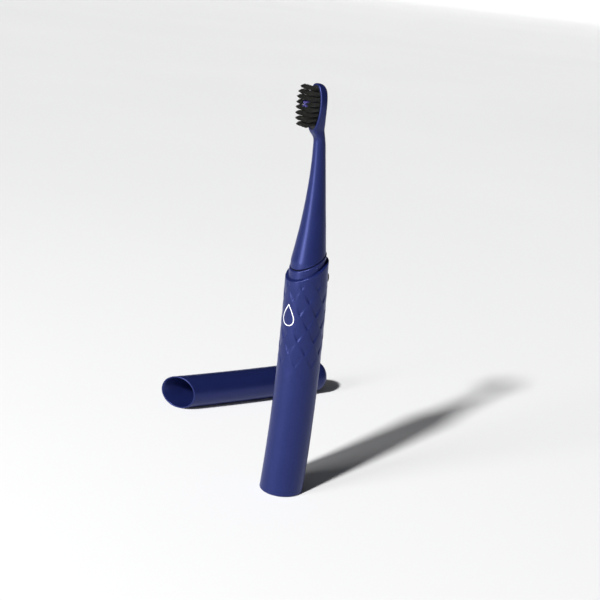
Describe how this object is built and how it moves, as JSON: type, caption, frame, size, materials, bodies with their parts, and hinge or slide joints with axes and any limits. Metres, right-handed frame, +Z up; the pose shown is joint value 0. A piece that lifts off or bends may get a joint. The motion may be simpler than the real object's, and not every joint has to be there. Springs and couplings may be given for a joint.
{
  "type": "battery toothbrush with travel cap",
  "caption": "Slim curved battery toothbrush standing on its base, with pull-off head, pull-out battery core, push button and a loose travel cap lying beside it.",
  "frame": {"origin": "centre of the underside of the handle, where the brush stands", "axes": "+Z up along the brush, bristles towards -X, button towards +X, travel cap lying on the +Y side with its mouth towards -X"},
  "size_m": [0.1167, 0.1333, 0.2015],
  "materials": {
    "blue_shell": "satin pearl blue moulding, faintly metallic",
    "black_elastomer": "soft black elastomer, fine matt grain",
    "frame_plastic": "natural white moulded frame",
    "socket_plastic": "white acetal, low sheen",
    "screw_steel": "zinc-plated",
    "cell_jacket": "printed foil jacket with bare metal nub",
    "spring_steel": "nickel-plated music wire",
    "contact_brass": "nickel-brass strip",
    "board_green": "glass-fibre board with green solder mask",
    "chip_black": "moulded epoxy",
    "stem_metal": "satin turned tube",
    "motor_steel": "bright drawn can",
    "magnet": "sintered magnet",
    "copper_coil": "enamelled copper winding",
    "lead_wire": "insulated stranded lead",
    "weight_metal": "sintered tungsten-iron weight",
    "tuft_base": "charcoal moulded plate",
    "bristle": "charcoal nylon filament",
    "star_elastomer": "soft violet-blue elastomer"
  },
  "bodies": {
    "handle": {"handle_sleeve": "blue_shell", "foot_pad": "black_elastomer", "button_seal": "black_elastomer"},
    "button": {"button_cap": "black_elastomer"},
    "core": {"collar": "blue_shell", "collar_seal": "black_elastomer", "inner_frame": "frame_plastic", "frame_screws": "screw_steel", "battery_cell": "cell_jacket", "battery_spring": "spring_steel", "contact_minus": "contact_brass", "contact_plus": "contact_brass", "contact_strip": "contact_brass", "circuit_board": "board_green", "board_parts": "chip_black", "tact_switch": "chip_black", "drive_stem": "stem_metal", "stem_seal": "black_elastomer", "gap_seal": "black_elastomer", "motor_can": "motor_steel", "motor_endcap": "socket_plastic", "motor_magnet": "magnet", "motor_cushion": "black_elastomer", "motor_leads": "lead_wire"},
    "rotor": {"motor_shaft": "motor_steel", "motor_coil": "copper_coil", "eccentric_weight": "weight_metal"},
    "head": {"head_neck": "blue_shell", "socket_insert": "socket_plastic", "tuft_plate": "tuft_base", "tufts_outer": "bristle", "tufts_inner": "bristle", "polish_star": "star_elastomer", "tongue_pad": "blue_shell"},
    "cap": {"travel_cap": "blue_shell"}
  },
  "joints": [
    {"name": "button_press", "type": "slide", "parent": "handle", "child": "button", "axis": [-1, 0, 0], "range_m": [0, 0.0006], "stiffness_N_per_m": 900},
    {"name": "core_pull", "type": "slide", "parent": "handle", "child": "core", "axis": [0, 0, 1], "range_m": [0, 0.11]},
    {"name": "motor_spin", "type": "hinge", "parent": "core", "child": "rotor", "pos_m": [0.0002, 0, 0.125], "axis": [0, 0, 1], "continuous": true},
    {"name": "head_pull", "type": "slide", "parent": "core", "child": "head", "axis": [0, 0, 1], "range_m": [0, 0.03]},
    {"name": "cap_lift", "type": "slide", "parent": "handle", "child": "cap", "axis": [0, 0, 1], "range_m": [0, 0.06]}
  ]
}
